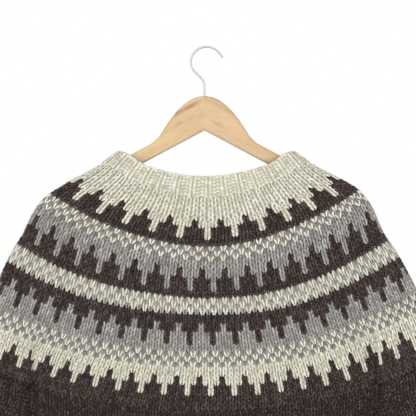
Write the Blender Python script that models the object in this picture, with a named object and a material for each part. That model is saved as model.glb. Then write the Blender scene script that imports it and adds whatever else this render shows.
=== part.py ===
"""A fair isle sweater with a circular yoke, hung on a flat wooden clothes hanger.

The sweater is knitted in the round from bulky wool, so its pieces are tubes without side seams: a ribbed
neckband, a yoke that widens from the neckband to the underarms, a body with a ribbed hem band, and two sleeves
with ribbed cuffs. Each piece is a wall of knitting between an outer and an inner surface, and stops a seam's
gap short of the next. The hanger is two flat arms that meet at a mitre, with a wire hook in the joint.

Metres in the scene, millimetres in the sizes below, +Z up, and the front faces -Y. The origin is the highest
point of the inside of the hook, where a peg or a rail carries it.
"""

import math
from collections import namedtuple

import bmesh
import bpy
import numpy as np

MM = 0.001

# The knitting.
WALL = 4.0
NECK_WALL = 5.0
SEAM = 0.3
RIB_RISE = 1.2  # how far a rib stands out of the groove beside it

# The heights that the pieces share, at the middle of the front.
NECKLINE = -182.0
NECKBAND_DEEP = 28.0
YOKE_DEEP = 330.0
HEM_TOP = -765.0
HEM_END = -825.0

# The underarm, where the body and a sleeve part from the yoke.
PARTING = 242.3  # distance from the middle
PARTING_GAP = 0.6  # from the parting to the side of the body, and to the sleeve
VALLEY = 9.0  # half the depth that the yoke keeps at the parting
BODY_DEPTH = 40.0
SLEEVE_DEPTH = 37.0
FULLNESS = 2.3  # power of the flattened ovals that the tubes have for sections

# The ribs of each band, and the points round each tube.
NECK_RIBS = 29
NECK_RIB_START = 0.17  # where the first point lies past the left edge, in points: a rib stands near the middle
HEM_RIBS = 52
CUFF_RIBS = 14
RIB_SHAPE = (0.0, 1.0, 1.0, 0.0)  # a share of RIB_RISE for each point of a rib
BODY_POINTS = 76
SLEEVE_POINTS = 36
ARC_STEPS = 2880  # steps that a ring's length is measured in

# A ring of the yoke for each row: its depth below the neckline at the middle of the front, its end on the
# shoulder line, the power of its curve from the middle to that end, half its depth from front to back, and
# how far it has parted into a body and two sleeves.
YokeRow = namedtuple("YokeRow", "down edge_across edge_height curve depth parted")
YOKE_ROWS = (
    YokeRow(0.0, 117.0, -147.0, 2.10, 31.0, 0.00),
    YokeRow(28.0, 140.5, -162.0, 1.95, 35.0, 0.00),
    YokeRow(88.5, 208.0, -199.0, 1.78, 40.0, 0.00),
    YokeRow(111.0, 229.3, -214.7, 1.85, 41.0, 0.00),
    YokeRow(161.0, 256.0, -266.0, 2.03, 42.0, 0.00),
    YokeRow(183.0, 271.0, -288.0, 2.20, 43.0, 0.04),
    YokeRow(245.0, 303.5, -348.0, 2.20, 43.0, 0.35),
    YokeRow(310.0, 337.0, -411.0, 2.20, 43.0, 0.88),
    YokeRow(330.0, 347.0, -431.0, 2.20, 43.0, 1.00),
)

# The knitting hangs a little askew: how much further a ring of the yoke reaches on each side of the front than
# its row says. It also stands up where it passes over the hanger's arms.
Reach = namedtuple("Reach", "down left right")
REACHES = (
    Reach(0.0, 3.0, 8.0),
    Reach(14.0, 3.5, 8.0),
    Reach(28.0, 2.0, 7.5),
    Reach(60.0, 0.5, 8.0),
    Reach(88.5, 1.0, 8.0),
    Reach(104.0, 0.0, 2.5),
    Reach(125.0, 1.0, 0.0),
    Reach(150.0, 3.5, 0.0),
    Reach(175.0, 2.0, 0.0),
    Reach(200.0, 0.0, 0.0),
    Reach(330.0, 0.0, 0.0),
)
REACH_START = 0.25  # share of the half width where the reach starts, and how much more it takes to be whole
REACH_RUN = 0.6
ARM_LIFT = 5.0
ARM_LIFT_AT = 0.89  # share of the half width
ARM_LIFT_WIDTH = 0.08
ARM_LIFT_DEEP = 45.0  # how far below the neckline the lift fades out

# A ring of the body: its share of the way from the yoke to the hem band, half its width, half its depth.
BodyRow = namedtuple("BodyRow", "share half_width depth")
BODY_ROWS = (
    BodyRow(0.0, 241.7, 40.0),
    BodyRow(0.3, 239.5, 43.0),
    BodyRow(0.65, 234.0, 40.0),
    BodyRow(1.0, 226.0, 36.0),
    BodyRow(1.2, 219.0, 33.0),
)

# A ring of the right sleeve: its edge beside the body, its outer edge, and half its depth. The last row but
# one is where the cuff starts, and the last is the end of the cuff.
SleeveRow = namedtuple("SleeveRow", "step inner_across inner_height outer_across outer_height depth")
SLEEVE_ROWS = (
    SleeveRow(0, 242.9, -475.1, 347.0, -431.0, 37.0),
    SleeveRow(1, 243.4, -510.0, 361.0, -470.0, 38.0),
    SleeveRow(2, 247.0, -560.0, 374.0, -528.0, 38.0),
    SleeveRow(3, 259.0, -640.0, 383.0, -618.0, 36.0),
    SleeveRow(4, 274.0, -720.0, 389.0, -702.0, 34.0),
    SleeveRow(5, 289.0, -790.0, 392.0, -776.0, 31.0),
    SleeveRow(6, 300.0, -842.0, 394.0, -830.0, 28.0),
    SleeveRow(7, 311.0, -904.0, 393.0, -894.0, 25.0),
)
CUFF_STEP = 6
CUFF_END_STEP = 7
CUFF_DRAW = 2.5  # how much narrower the cuff is than the sleeve, on each side

# The long folds of the body: where one starts across the front or back, how far it leans as it falls, half
# its width, how far it stands out (or in, if negative), and the heights where it starts and is full.
Fold = namedtuple("Fold", "across lean width rise start full")
FRONT_FOLDS = (
    Fold(-176.0, 0.10, 30.0, 6.0, -545.0, -690.0),
    Fold(-88.0, -0.06, 40.0, -5.5, -590.0, -740.0),
    Fold(22.0, 0.05, 34.0, 6.5, -560.0, -705.0),
    Fold(112.0, -0.09, 36.0, -5.0, -570.0, -730.0),
    Fold(186.0, -0.07, 24.0, 5.0, -540.0, -660.0),
)
BACK_FOLDS = (
    Fold(-150.0, 0.08, 36.0, 5.5, -560.0, -720.0),
    Fold(-38.0, -0.05, 42.0, -6.0, -550.0, -700.0),
    Fold(74.0, 0.06, 34.0, 6.0, -580.0, -745.0),
    Fold(168.0, -0.08, 30.0, -4.5, -545.0, -690.0),
)

# The hanger, of board, and its hook, of round wire.
HANGER_MIDDLE = 0.0
HANGER_THICK = 12.0
HANGER_TOP = -68.2
HANGER_BOTTOM = -117.2
HANGER_SWEEP = 70.0  # across squared, over the fall, of the rounded head
ARM_TOP = -95.8  # where the straight top of an arm would meet the middle
ARM_SLOPE = 0.533
ARM_REACH = 216.0
ARM_END_ROUND = 8.0
HANGER_ROUND = 3.0
HANGER_BLEND = 3.0  # how softly the head runs into the arm
MITRE_GAP = 0.3
WIRE = 1.5
HOOK_RADIUS = 22.4
HOOK_ACROSS = 3.0
HOOK_END_ANGLE = math.radians(36)
HOOK_TIP = 8.5
STEM_TOP = -55.0
STEM_DEEP = 22.0  # how far the wire goes into the board
STEM_PULL = 16.0
HOOK_PULL = 16.0
BORE_GAP = 0.3

# Each material's colour, metallic value and roughness.
FINISHES = {
    "cream_wool": ((0.60, 0.58, 0.46, 1.0), 0.0, 0.95),
    "grey_wool": ((0.29, 0.28, 0.26, 1.0), 0.0, 0.95),
    "brown_wool": ((0.048, 0.034, 0.033, 1.0), 0.0, 0.95),
    "beech": ((0.72, 0.51, 0.30, 1.0), 0.0, 0.45),
    "steel_wire": ((0.62, 0.60, 0.55, 1.0), 1.0, 0.25),
}


def clear_scene():
    for thing in list(bpy.data.objects):
        bpy.data.objects.remove(thing, do_unlink=True)


def finish_of(name):
    """The Principled material of that name, made once."""
    material = bpy.data.materials.get(name)
    if material is None:
        colour, metallic, roughness = FINISHES[name]
        material = bpy.data.materials.new(name)
        material.use_nodes = True
        shader = material.node_tree.nodes["Principled BSDF"]
        shader.inputs["Base Color"].default_value = colour
        shader.inputs["Metallic"].default_value = metallic
        shader.inputs["Roughness"].default_value = roughness
        material.diffuse_color = colour
    return material


def collection_of(name):
    found = bpy.data.collections.get(name)
    if found is None:
        found = bpy.data.collections.new(name)
        bpy.context.scene.collection.children.link(found)
    return found


def add_object(name, data, finish, collection="sweater_on_hanger"):
    thing = bpy.data.objects.new(name, data)
    data.materials.append(finish_of(finish))
    collection_of(collection).objects.link(thing)
    return thing


def section(rows, at):
    """The row for any value of the first column, on smooth curves through the rows of the table."""
    values = np.array(rows, float)
    keys = values[:, 0]
    slopes = np.gradient(values, keys, axis=0)
    k = int(np.clip(np.searchsorted(keys, at) - 1, 0, len(keys) - 2))
    span = keys[k + 1] - keys[k]
    t = (at - keys[k]) / span
    found = (
        (2 * t**3 - 3 * t**2 + 1) * values[k]
        + (t**3 - 2 * t**2 + t) * span * slopes[k]
        + (3 * t**2 - 2 * t**3) * values[k + 1]
        + (t**3 - t**2) * span * slopes[k + 1]
    )
    return type(rows[0])(*found)


def angles_round(count):
    """Angles round a tube: 0 at the left edge, a quarter turn at the front, half a turn at the right edge."""
    return 2 * math.pi * np.arange(count) / count


def oval(angles):
    """Across and through a flattened oval of half width and half depth 1; through is negative at the front."""
    across, through = -np.cos(angles), -np.sin(angles)
    flat = 2 / FULLNESS
    return np.sign(across) * np.abs(across) ** flat, np.sign(through) * np.abs(through) ** flat


def bulge(share):
    """Half the depth of a flattened oval at a share of its half width."""
    return np.maximum(0.0, 1 - np.abs(share) ** FULLNESS) ** (1 / FULLNESS)


def join_height(across):
    """The height of the join below the yoke, which rises from the middle to the sleeves."""
    last = YOKE_ROWS[-1]
    middle = NECKLINE - YOKE_DEEP
    return middle + (last.edge_height - middle) * np.abs(across / last.edge_across) ** last.curve


def parted_depth(across, edge, even):
    """Half the depth where the yoke parts: a lobe for the body, one for each sleeve and a valley between."""
    body = BODY_DEPTH * bulge(across / (PARTING - PARTING_GAP))
    middle = (edge + PARTING + PARTING_GAP) / 2
    half = (edge - PARTING - PARTING_GAP) / 2
    sleeve = SLEEVE_DEPTH * bulge((np.abs(across) - middle) / half)
    return (body**4 + sleeve**4 + (VALLEY * even) ** 4) ** 0.25


def eased(share):
    """0 up to 0, 1 from 1, and smooth between."""
    share = np.clip(share, 0.0, 1.0)
    return share * share * (3 - 2 * share)


def hung(across, down):
    """How far the hang of the knitting moves points of a ring to the side and up."""
    reach = section(REACHES, down)
    grown = eased((np.abs(across) - REACH_START) / REACH_RUN)
    aside = np.where(across > 0, reach.right, -reach.left) * grown
    near_arm = np.exp(-(((np.abs(across) - ARM_LIFT_AT) / ARM_LIFT_WIDTH) ** 2))
    return aside, ARM_LIFT * eased(1 - down / ARM_LIFT_DEEP) * near_arm


def yoke_ring(angles, down):
    """Points of the outer surface of the neckband and the yoke, that far below the neckline."""
    row = section(YOKE_ROWS, down)
    across, through = oval(angles)
    x = row.edge_across * across
    middle = NECKLINE - down
    z = middle + (row.edge_height - middle) * np.abs(across) ** row.curve
    even = np.abs(through)
    parted = float(np.clip(row.parted, 0.0, 1.0))
    depth = row.depth * even
    if parted > 0:
        depth = (1 - parted) * depth + parted * parted_depth(x, row.edge_across, even)
    aside, up = hung(across, down)
    return np.stack([x + aside, np.sign(through) * depth, z + up], axis=1)


def yoke_normals(angles, down):
    """Outward directions of that surface, from points a little way round and down."""
    turn, step = 1e-3, 0.5
    round_it = yoke_ring(angles + turn, down) - yoke_ring(angles - turn, down)
    down_it = yoke_ring(angles, min(down + step, YOKE_DEEP)) - yoke_ring(angles, max(down - step, 0.0))
    normals = np.cross(down_it, round_it)
    return normals / np.linalg.norm(normals, axis=1)[:, None]


def yoke_wall(angles, down, wall):
    """The inner surface's points, that far inside the outer surface."""
    inside = yoke_ring(angles, down) - wall * yoke_normals(angles, down)
    if down >= YOKE_DEEP:
        inside[:, 2] = join_height(inside[:, 0])
    return inside


def fold_rise(across, height, folds):
    """How far the folds move a point of the body out."""
    rise = np.zeros_like(across)
    for fold in folds:
        share = np.clip((fold.start - height) / (fold.start - fold.full), 0, 1)
        middle = fold.across + fold.lean * (fold.start - height)
        rise += fold.rise * share**2 * (3 - 2 * share) * np.exp(-(((across - middle) / fold.width) ** 2))
    return rise


def body_ring(angles, share):
    """Points of the outer surface of the body and the hem band, as a share of the way down the body."""
    row = section(BODY_ROWS, share)
    across, through = oval(angles)
    x = row.half_width * across
    fall = min(share, 1.0)
    z = (1 - fall) * join_height(x) + fall * HEM_TOP + max(share - 1.0, 0.0) / 0.2 * (HEM_END - HEM_TOP)
    even = np.abs(through)
    folds = np.where(through < 0, fold_rise(x, z, FRONT_FOLDS), fold_rise(x, z, BACK_FOLDS))
    y = np.sign(through) * (row.depth * even + folds * even**2)
    return np.stack([x, y, z], axis=1)


def inset(points, by, flat_axis):
    """A closed ring moved inwards in its own plane, where flat_axis is the direction across it."""
    along = np.roll(points, -1, axis=0) - np.roll(points, 1, axis=0)
    across = along @ flat_axis
    through = along[:, 1]
    length = np.hypot(across, through)
    moved = points - by * (through / length)[:, None] * flat_axis
    moved[:, 1] += by * across / length
    return moved


def body_wall(angles, share, wall):
    inside = inset(body_ring(angles, share), wall, np.array([1.0, 0.0, 0.0]))
    if share < 1.0:
        inside[:, 2] = (1 - share) * join_height(inside[:, 0]) + share * HEM_TOP
    return inside


def sleeve_ring(angles, step, draw=0.0):
    """Points of the outer surface of the right sleeve, and the direction across it."""
    row = section(SLEEVE_ROWS, step)
    inner = np.array([row.inner_across, 0.0, row.inner_height])
    outer = np.array([row.outer_across, 0.0, row.outer_height])
    flat_axis = (outer - inner) / np.linalg.norm(outer - inner)
    half = np.linalg.norm(outer - inner) / 2 - draw
    across, through = oval(angles)
    points = (inner + outer) / 2 + half * across[:, None] * flat_axis
    points[:, 1] = (row.depth - draw) * through
    above = max(0.0, 1 - step)
    points[:, 2] += above * (join_height(points[:, 0]) - points[:, 2])
    return points, flat_axis


def sleeve_wall(angles, step, wall, draw=0.0):
    points, flat_axis = sleeve_ring(angles, step, draw)
    inside = inset(points, wall, flat_axis)
    if step == 0:
        inside[:, 2] = join_height(inside[:, 0])
    return inside


def even_angles(ring_of, count, start=0.0):
    """Angles whose points lie evenly along a ring, the first of them some points past its left edge."""
    fine = angles_round(ARC_STEPS)
    points = ring_of(fine)
    steps = np.linalg.norm(np.roll(points, -1, axis=0) - points, axis=1)
    along = np.concatenate([[0.0], np.cumsum(steps)])
    wanted = (np.arange(count) + start) / count * along[-1]
    return np.interp(wanted, along, np.append(fine, 2 * math.pi))


def neck_angles():
    """The angles that the neckband and the yoke share: the neckband's ribs are evenly wide."""
    return even_angles(lambda fine: yoke_ring(fine, NECKBAND_DEEP / 2), NECK_RIBS * len(RIB_SHAPE), NECK_RIB_START)


def rib_rises(count):
    """How far each point round a band stands out of its groove."""
    return RIB_RISE * np.tile(RIB_SHAPE, count)


def add_tube(name, outer, inner, finish):
    """A closed wall through outer rings from top to bottom and inner rings from top to bottom."""
    mesh_maker = bmesh.new()
    rings = [*outer, *reversed(inner)]
    loops = [[mesh_maker.verts.new(point * MM) for point in ring] for ring in rings]
    for first, second in zip(loops, loops[1:] + loops[:1]):
        for k in range(len(first)):
            after = (k + 1) % len(first)
            mesh_maker.faces.new((first[k], second[k], second[after], first[after]))
    bmesh.ops.recalc_face_normals(mesh_maker, faces=mesh_maker.faces)
    mesh = bpy.data.meshes.new(name)
    mesh_maker.to_mesh(mesh)
    mesh_maker.free()
    mesh.shade_smooth()
    mesh.set_sharp_from_angle(angle=math.radians(50))
    return add_object(name, mesh, finish)


def lowered(points, by):
    return points - np.array([0.0, 0.0, by])


def add_neckband():
    """The ribbed band, which stands up round the neck opening."""
    angles = neck_angles()
    bottom = NECKBAND_DEEP - SEAM
    rise = rib_rises(NECK_RIBS)[:, None]
    outer = []
    for down, full in ((0.0, 0.2), (2.0, 1.0), (14.0, 1.0), (bottom, 1.0)):
        outer.append(yoke_ring(angles, down) + full * rise * yoke_normals(angles, down))
    inner = [yoke_wall(angles, down, NECK_WALL) for down in (0.0, bottom)]
    return add_tube("neckband", outer, inner, "cream_wool")


def add_yoke():
    """The patterned yoke, from the neckband to where the body and the sleeves part."""
    angles = neck_angles()
    top = NECKBAND_DEEP + SEAM
    outer_downs = (top, 50.0, 72.0, 92.0, 111.0, 134.0, 158.0, 183.0, 214.0, 245.0, 275.0, 303.0, YOKE_DEEP)
    inner_downs = (top, 72.0, 111.0, 158.0, 214.0, 275.0, YOKE_DEEP)
    outer = [yoke_ring(angles, down) for down in outer_downs]
    inner = [yoke_wall(angles, down, WALL) for down in inner_downs]
    return add_tube("yoke", outer, inner, "grey_wool")


def add_body():
    """The plain body, a tube with no side seams."""
    angles = angles_round(BODY_POINTS)
    outer_shares = (0.0, 0.13, 0.28, 0.44, 0.6, 0.78, 1.0)
    inner_shares = (0.0, 0.28, 0.6, 1.0)
    outer = [body_ring(angles, share) for share in outer_shares]
    inner = [body_wall(angles, share, WALL) for share in inner_shares]
    for rings in (outer, inner):
        rings[0] = lowered(rings[0], SEAM)
        rings[-1] = lowered(rings[-1], -SEAM)
    return add_tube("body", outer, inner, "brown_wool")


def add_hem_band():
    """The ribbed band round the bottom of the body."""
    angles = even_angles(lambda fine: body_ring(fine, 1.1), HEM_RIBS * len(RIB_SHAPE))
    rise = rib_rises(HEM_RIBS)
    flat_axis = np.array([1.0, 0.0, 0.0])
    outer = []
    for share, full in ((1.0, 1.0), (1.2, 1.0)):
        ring = inset(body_ring(angles, share), 1.0, flat_axis)
        out = inset(ring, -1.0, flat_axis) - ring
        outer.append(ring + full * rise[:, None] * out)
    inner = [body_wall(angles, share, WALL + 1.0) for share in (1.0, 1.2)]
    return add_tube("hem_band", outer, inner, "brown_wool")


def mirrored(rings):
    """The rings of the left sleeve, from those of the right."""
    return [ring * np.array([-1.0, 1.0, 1.0]) for ring in rings]


def add_sleeve(side, turn):
    """One plain sleeve, which tapers to the cuff."""
    angles = angles_round(SLEEVE_POINTS)
    outer = [sleeve_ring(angles, step)[0] for step in (0, 0.5, 1, 2, 3, 4, 5, CUFF_STEP)]
    inner = [sleeve_wall(angles, step, WALL) for step in (0, 1, 2, 3, 5, CUFF_STEP)]
    for rings in (outer, inner):
        rings[0] = lowered(rings[0], SEAM)
    return add_tube(f"{side}_sleeve", turn(outer), turn(inner), "brown_wool")


def add_cuff(side, turn):
    """The ribbed band at the end of a sleeve, drawn in a little."""
    angles = even_angles(lambda fine: sleeve_ring(fine, CUFF_STEP)[0], CUFF_RIBS * len(RIB_SHAPE))
    rise = rib_rises(CUFF_RIBS)[:, None]
    outer, inner = [], []
    for step in (CUFF_STEP, CUFF_END_STEP):
        ring, flat_axis = sleeve_ring(angles, step, CUFF_DRAW)
        out = inset(ring, -1.0, flat_axis) - ring
        down = np.array([-flat_axis[2], 0.0, flat_axis[0]]) * (-SEAM if step == CUFF_STEP else 0.0)
        outer.append(ring + rise * out + down)
        inner.append(sleeve_wall(angles, step, WALL, CUFF_DRAW) + down)
    return add_tube(f"{side}_cuff", turn(outer), turn(inner), "brown_wool")


def arm_top(across):
    """The top edge of the hanger: a rounded head that runs into a straight arm."""
    head = HANGER_TOP - across**2 / HANGER_SWEEP
    arm = ARM_TOP - ARM_SLOPE * across
    return HANGER_BLEND * math.log(math.exp(head / HANGER_BLEND) + math.exp(arm / HANGER_BLEND))


def arm_bottom(across):
    return HANGER_BOTTOM - ARM_SLOPE * across


def arm_outline():
    """Across and height of the points round one arm, from the mitre along the top and back."""
    start = MITRE_GAP / 2
    tops = [start, 12.0, 22.0, 31.0, 40.0, 48.0, 56.0, 64.0, 73.0, 84.0, 100.0, ARM_REACH - ARM_END_ROUND]
    points = [(across, arm_top(across)) for across in tops]
    end_top, end_bottom = arm_top(tops[-1]), arm_bottom(tops[-1])
    middle, half = (end_top + end_bottom) / 2, (end_top - end_bottom) / 2
    for degrees in (60, 30, 0, -30, -60):
        turn = math.radians(degrees)
        across = tops[-1] + ARM_END_ROUND * math.cos(turn)
        points.append((across, middle + half * math.sin(turn) - ARM_SLOPE * ARM_END_ROUND * math.cos(turn)))
    points += [(tops[-1], end_bottom), (start, arm_bottom(start))]
    return points


def add_bore():
    """The cutter for the hole that the wire goes into, half in each arm."""
    maker = bmesh.new()
    radius = (WIRE + BORE_GAP) * MM
    bmesh.ops.create_cone(
        maker, cap_ends=True, segments=16, radius1=radius, radius2=radius, depth=2 * STEM_DEEP * MM
    )
    mesh = bpy.data.meshes.new("stem_bore")
    maker.to_mesh(mesh)
    maker.free()
    bore = add_object("stem_bore", mesh, "beech", "cutters")
    bore.location = (HANGER_MIDDLE * MM, 0.0, HANGER_TOP * MM)
    bore.hide_render = True
    bore.display_type = "WIRE"
    return bore


def add_arm(side, way, bore):
    """One arm of the hanger, cut from board and rounded along its edges."""
    maker = bmesh.new()
    half = HANGER_THICK / 2
    front = [
        maker.verts.new(((HANGER_MIDDLE + way * across) * MM, -half * MM, height * MM))
        for across, height in arm_outline()
    ]
    face = maker.faces.new(front)
    grown = bmesh.ops.extrude_face_region(maker, geom=[face])
    moved = [v for v in grown["geom"] if isinstance(v, bmesh.types.BMVert)]
    bmesh.ops.translate(maker, verts=moved, vec=(0.0, HANGER_THICK * MM, 0.0))
    bmesh.ops.recalc_face_normals(maker, faces=maker.faces)
    mitre = (HANGER_MIDDLE + way * MITRE_GAP / 2) * MM
    rims = []
    for edge in maker.edges:
        a, b = edge.verts
        along_board = abs(a.co.y - b.co.y) < MM / 10
        at_mitre = abs(a.co.x - mitre) < MM / 100 and abs(b.co.x - mitre) < MM / 100
        if along_board and not at_mitre:
            rims.append(edge)
    bmesh.ops.bevel(
        maker, geom=rims, offset=HANGER_ROUND * MM, segments=2, profile=0.5, affect="EDGES", clamp_overlap=True
    )
    bmesh.ops.recalc_face_normals(maker, faces=maker.faces)
    mesh = bpy.data.meshes.new(f"hanger_{side}_arm")
    maker.to_mesh(mesh)
    maker.free()
    arm = add_object(f"hanger_{side}_arm", mesh, "beech")
    cut = arm.modifiers.new("stem bore", "BOOLEAN")
    cut.operation = "DIFFERENCE"
    cut.object = bore
    return arm


def hook_route():
    """Points along the wire, from its end in the board to its free tip."""
    centre = -(HOOK_RADIUS - WIRE)
    left = HOOK_ACROSS - HOOK_RADIUS
    route = [(HANGER_MIDDLE, HANGER_TOP - STEM_DEEP + 1.0), (HANGER_MIDDLE, (HANGER_TOP + STEM_TOP) / 2)]
    pulls = (
        (HANGER_MIDDLE, STEM_TOP),
        (HANGER_MIDDLE, STEM_TOP + STEM_PULL),
        (left, centre - HOOK_PULL),
        (left, centre),
    )
    bends = 10
    for k in range(bends):
        t = k / bends
        weights = ((1 - t) ** 3, 3 * t * (1 - t) ** 2, 3 * t**2 * (1 - t), t**3)
        route.append(tuple(sum(w * p[axis] for w, p in zip(weights, pulls)) for axis in (0, 1)))
    turns = 14
    for k in range(turns + 1):
        angle = math.pi + (HOOK_END_ANGLE - math.pi) * k / turns
        route.append((HOOK_ACROSS + HOOK_RADIUS * math.cos(angle), centre + HOOK_RADIUS * math.sin(angle)))
    x, z = route[-1]
    heading = HOOK_END_ANGLE - math.pi / 2
    route.append((x + HOOK_TIP * math.cos(heading), z + HOOK_TIP * math.sin(heading)))
    return route


def add_hook():
    """The wire hook, one bent wire of even thickness."""
    route = hook_route()
    line = bpy.data.curves.new("hanger_hook", "CURVE")
    line.dimensions = "3D"
    line.bevel_depth = WIRE * MM
    line.bevel_resolution = 3
    line.use_fill_caps = True
    spline = line.splines.new("POLY")
    spline.points.add(len(route) - 1)
    for point, (across, height) in zip(spline.points, route):
        point.co = (across * MM, 0.0, height * MM, 1.0)
    return add_object("hanger_hook", line, "steel_wire")


def build():
    clear_scene()
    bore = add_bore()
    add_arm("left", -1, bore)
    add_arm("right", 1, bore)
    add_hook()
    add_neckband()
    add_yoke()
    add_body()
    add_hem_band()
    add_sleeve("right", list)
    add_cuff("right", list)
    add_sleeve("left", mirrored)
    add_cuff("left", mirrored)


build()
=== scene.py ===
# %% [markdown]
# # A fair isle sweater on its hanger
#
# The sweater is knitted in the round from bulky wool: a ribbed neckband, a yoke with coloured bands, and
# plain dark tubes for the body and the sleeves. It hangs on a flat wooden hanger. Knitting is a surface made
# of many small yarn loops, and at this size each loop shows. So every stitch here is real geometry: two short
# legs of yarn that meet at the bottom in a V. The legs lie on a smooth form, which is the same form that the
# solid model has, and a thin shell behind them closes the gaps.

# %% Load the frame
import math
from collections import namedtuple

import bmesh
import bpy
import numpy as np
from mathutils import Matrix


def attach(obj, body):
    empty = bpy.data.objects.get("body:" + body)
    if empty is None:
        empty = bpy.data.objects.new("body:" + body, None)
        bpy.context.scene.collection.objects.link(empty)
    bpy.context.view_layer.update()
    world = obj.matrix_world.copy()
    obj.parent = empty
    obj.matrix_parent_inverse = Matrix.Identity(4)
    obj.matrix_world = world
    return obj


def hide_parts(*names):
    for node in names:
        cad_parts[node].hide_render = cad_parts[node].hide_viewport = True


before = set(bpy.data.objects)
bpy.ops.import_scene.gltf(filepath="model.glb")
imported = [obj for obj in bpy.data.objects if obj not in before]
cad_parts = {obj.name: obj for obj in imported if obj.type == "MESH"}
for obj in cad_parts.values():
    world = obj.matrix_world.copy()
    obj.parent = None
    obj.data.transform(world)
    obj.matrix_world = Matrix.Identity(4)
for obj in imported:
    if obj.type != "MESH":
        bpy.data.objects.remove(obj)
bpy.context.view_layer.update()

MM = 0.001
random = np.random.default_rng(7)

# %% [markdown]
# ## Camera, light and floor
#
# The photo was taken square on, from far enough away that nothing looks foreshortened. A long lens at five
# metres gives the same view. One photo pixel is 1.41 mm on the garment, so the frame is 586.6 mm across.
# The light is soft and comes from the upper left, with white all round, so folds stay visible but shadows are
# gentle.

# %% Camera
VIEW_ACROSS = 586.6
VIEW_FROM = 5000.0
GARMENT_FRONT = -20.0  # depth at which the scale of the view is exact
VIEW_CENTRE = (4.9, -227.0)

camera_data = bpy.data.cameras.new("camera")
camera_data.sensor_width = 36.0
camera_data.lens = camera_data.sensor_width * (VIEW_FROM + GARMENT_FRONT) / VIEW_ACROSS
camera_data.clip_end = 60.0
camera = bpy.data.objects.new("camera", camera_data)
camera.location = (VIEW_CENTRE[0] * MM, -VIEW_FROM * MM, VIEW_CENTRE[1] * MM)
camera.rotation_euler = (math.radians(90), 0.0, 0.0)
bpy.context.scene.collection.objects.link(camera)
bpy.context.scene.camera = camera
print("lens in mm:", round(camera_data.lens, 1))


# %% Helpers for colours, nodes, materials and pieces
def linear(text):
    """An sRGB hex colour as linear red, green, blue and alpha."""
    channels = [int(text[k:k + 2], 16) / 255 for k in (1, 3, 5)]
    return (*[c / 12.92 if c <= 0.04045 else ((c + 0.055) / 1.055) ** 2.4 for c in channels], 1.0)


def add_node(tree, kind, inputs=None, **settings):
    """Adds a node. An input is a value, or another node's output that is linked to it."""
    node = tree.nodes.new(kind)
    for name, value in settings.items():
        setattr(node, name, value)
    for name, value in (inputs or {}).items():
        if isinstance(value, bpy.types.NodeSocket):
            tree.links.new(value, node.inputs[name])
        else:
            node.inputs[name].default_value = value
    return node


def add_noise(tree, place, scale, detail, roughness=0.5):
    inputs = {"Vector": place, "Scale": scale, "Detail": detail, "Roughness": roughness}
    return add_node(tree, "ShaderNodeTexNoise", inputs).outputs["Fac"]


def multiply_add(tree, value, factor, more):
    inputs = {0: value, 1: factor, 2: more}
    return add_node(tree, "ShaderNodeMath", inputs, operation="MULTIPLY_ADD").outputs[0]


def mix_colours(tree, share, first, second, blend_type="MIX"):
    inputs = {0: share, 6: first, 7: second}
    return add_node(tree, "ShaderNodeMix", inputs, data_type="RGBA", blend_type=blend_type).outputs[2]


def add_ramp(tree, share, stops):
    """The colour that a ramp has at the share. A stop is a position and a hex colour."""
    ramp = add_node(tree, "ShaderNodeValToRGB", {"Fac": share})
    elements = ramp.color_ramp.elements
    for position, _ in stops[1:-1]:
        elements.new(position)
    for element, (position, colour) in zip(elements, stops):
        element.position = position
        element.color = linear(colour)
    return ramp.outputs["Color"]


def new_material(name, **values):
    """A material, its node tree and its shader, whose inputs get the values given, with _ for a space."""
    material = bpy.data.materials.new(name)
    material.use_nodes = True
    shader = material.node_tree.nodes["Principled BSDF"]
    for socket, value in values.items():
        shader.inputs[socket.replace("_", " ")].default_value = value
    return material, material.node_tree, shader


def add_piece(name, mesh):
    """A piece of the visual model that rides on the root."""
    piece = bpy.data.objects.new(name, mesh)
    bpy.context.scene.collection.objects.link(piece)
    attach(piece, "root")
    return piece


# %% Light and floor
world = bpy.data.worlds.new("studio")
world.use_nodes = True
sky = world.node_tree
sky.nodes.clear()
around = add_node(sky, "ShaderNodeBackground", {"Color": (1.0, 1.0, 1.0, 1.0), "Strength": 0.45})
backdrop = add_node(sky, "ShaderNodeBackground", {"Color": (1.0, 1.0, 1.0, 1.0), "Strength": 1.0})
rays = add_node(sky, "ShaderNodeLightPath")
straight = {0: rays.outputs["Is Camera Ray"], 1: rays.outputs["Is Glossy Ray"]}
seen = add_node(sky, "ShaderNodeMath", straight, operation="MAXIMUM")
shown = {0: seen.outputs[0], 1: around.outputs[0], 2: backdrop.outputs[0]}
chosen = add_node(sky, "ShaderNodeMixShader", shown)
add_node(sky, "ShaderNodeOutputWorld", {"Surface": chosen.outputs[0]})
bpy.context.scene.world = world
bpy.context.scene.view_settings.view_transform = "Standard"


def add_light(name, place, towards, size, power):
    data = bpy.data.lights.new(name, "AREA")
    data.shape = "DISK"
    data.size = size
    data.energy = power
    lamp = bpy.data.objects.new(name, data)
    lamp.location = place
    lamp.visible_camera = False
    aim = np.array(towards, float) - np.array(place, float)
    lamp.rotation_euler = (
        math.atan2(math.hypot(aim[0], aim[1]), -aim[2]), 0.0, math.atan2(aim[1], aim[0]) - math.pi / 2
    )
    bpy.context.scene.collection.objects.link(lamp)


add_light("key", (-1.0, -2.6, 1.2), (0.0, 0.0, -0.35), 0.9, 35.0)
add_light("fill", (1.3, -3.0, 0.0), (0.0, 0.0, -0.4), 1.8, 16.0)
add_light("bounce", (0.0, -1.9, -0.8), (0.0, 0.0, -0.4), 0.8, 12.0)

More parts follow.
